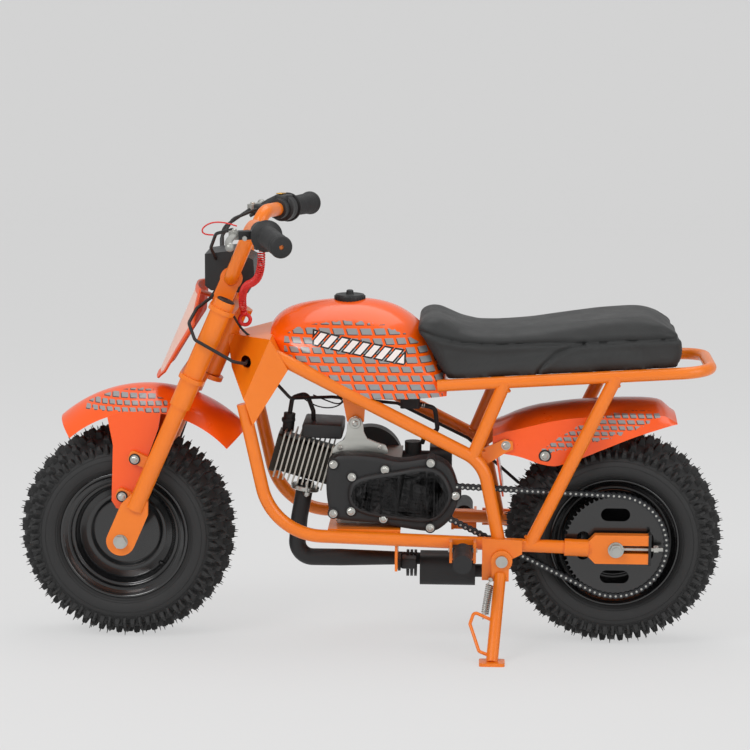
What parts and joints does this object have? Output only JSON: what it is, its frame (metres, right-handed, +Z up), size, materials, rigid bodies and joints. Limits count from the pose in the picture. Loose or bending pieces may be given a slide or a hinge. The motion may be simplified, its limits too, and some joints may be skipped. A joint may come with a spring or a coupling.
{
  "type": "small trail minibike",
  "caption": "Small tube-frame minibike with knobby tyres, chain drive, single-cylinder engine, flat seat, side stand, fold-up pegs and straight-legged fork",
  "frame": {"origin": "on the floor under the middle of the bike's bounding box, as it leans on its side stand", "axes": "+X towards the rear along the bike, +Y towards the rider's right, +Z up from the floor"},
  "size_m": [1.08, 0.619, 0.6831],
  "materials": {
    "frame_paint": "satin orange paint",
    "tank_paint": "gloss red-orange paint",
    "fender_plastic": "gloss orange moulding",
    "plate_white": "white and red print on a gloss board",
    "rim_black": "gloss black enamel",
    "black_metal": "matte black heatproof paint",
    "tyre": "black tread rubber",
    "rubber": "moulded black rubber",
    "black_plastic": "moulded black plastic",
    "steel": "zinc-plated steel",
    "alloy": "cast aluminium",
    "seat_vinyl": "grained black vinyl",
    "cord_red": "red plastic"
  },
  "bodies": {
    "frame": {"cradle_tubes": "frame_paint", "backbone_tubes": "frame_paint", "seat_rail": "frame_paint", "seat_struts": "frame_paint", "dropouts": "frame_paint", "head_gusset": "frame_paint", "engine_bed": "frame_paint", "foot_brackets": "frame_paint", "frame_tab": "frame_paint", "stand_bolt": "steel", "peg_pins": "steel", "rear_axle": "steel", "adjuster_caps": "black_plastic", "fuel_tank": "tank_paint", "tank_cap": "black_plastic", "seat": "seat_vinyl", "rear_fender": "fender_plastic", "fender_bracket": "frame_paint", "crankcase": "alloy", "cylinder": "alloy", "gear_cover": "black_metal", "recoil_cover": "black_plastic", "engine_hanger": "steel", "exhaust": "black_metal", "carburettor": "black_plastic", "chain": "steel", "drive_sprocket": "steel", "rear_caliper": "alloy", "plug_lead": "rubber", "fuel_tap": "rubber", "frame_cable": "rubber"},
    "steering": {"fork_legs": "frame_paint", "fork_yokes": "frame_paint", "handlebar": "black_metal", "grips": "rubber", "throttle_housing": "black_plastic", "brake_levers": "black_metal", "control_box": "black_plastic", "number_plate": "plate_white", "front_fender": "fender_plastic", "front_axle": "steel", "front_caliper": "alloy", "bar_cables": "rubber", "kill_switch": "black_plastic", "kill_cord": "cord_red", "kill_clip": "cord_red"},
    "front_wheel": {"front_tyre": "tyre", "front_rim": "rim_black", "front_brake_disc": "steel"},
    "rear_wheel": {"rear_tyre": "tyre", "rear_rim": "rim_black", "wheel_sprocket": "steel", "rear_brake_disc": "steel"},
    "side_stand": {"side_stand": "frame_paint"},
    "left_peg": {"left_peg": "rubber"},
    "right_peg": {"right_peg": "rubber"}
  },
  "joints": [
    {"name": "steering_turn", "type": "hinge", "parent": "frame", "child": "steering", "pos_m": [-0.22573, 0.01277, 0.45901], "axis": [0.3995, -0.0639, 0.9145], "range_deg": [-25, 25]},
    {"name": "front_wheel_spin", "type": "hinge", "parent": "steering", "child": "front_wheel", "pos_m": [-0.375, 0.03334, 0.16481], "axis": [0, 0.9976, 0.0698], "continuous": true},
    {"name": "rear_wheel_spin", "type": "hinge", "parent": "frame", "child": "rear_wheel", "pos_m": [0.375, 0.03334, 0.16481], "axis": [0, 0.9976, 0.0698], "continuous": true},
    {"name": "stand_fold", "type": "hinge", "parent": "frame", "child": "side_stand", "pos_m": [0.2035, -0.0752, 0.14017], "axis": [0, -0.9976, -0.0698], "range_deg": [0, 85]},
    {"name": "left_peg_fold", "type": "hinge", "parent": "frame", "child": "left_peg", "pos_m": [0.145, -0.08138, 0.15678], "axis": [-1, 0, 0], "range_deg": [0, 80]},
    {"name": "right_peg_fold", "type": "hinge", "parent": "frame", "child": "right_peg", "pos_m": [0.145, 0.14806, 0.17283], "axis": [1, 0, 0], "range_deg": [0, 80]}
  ]
}
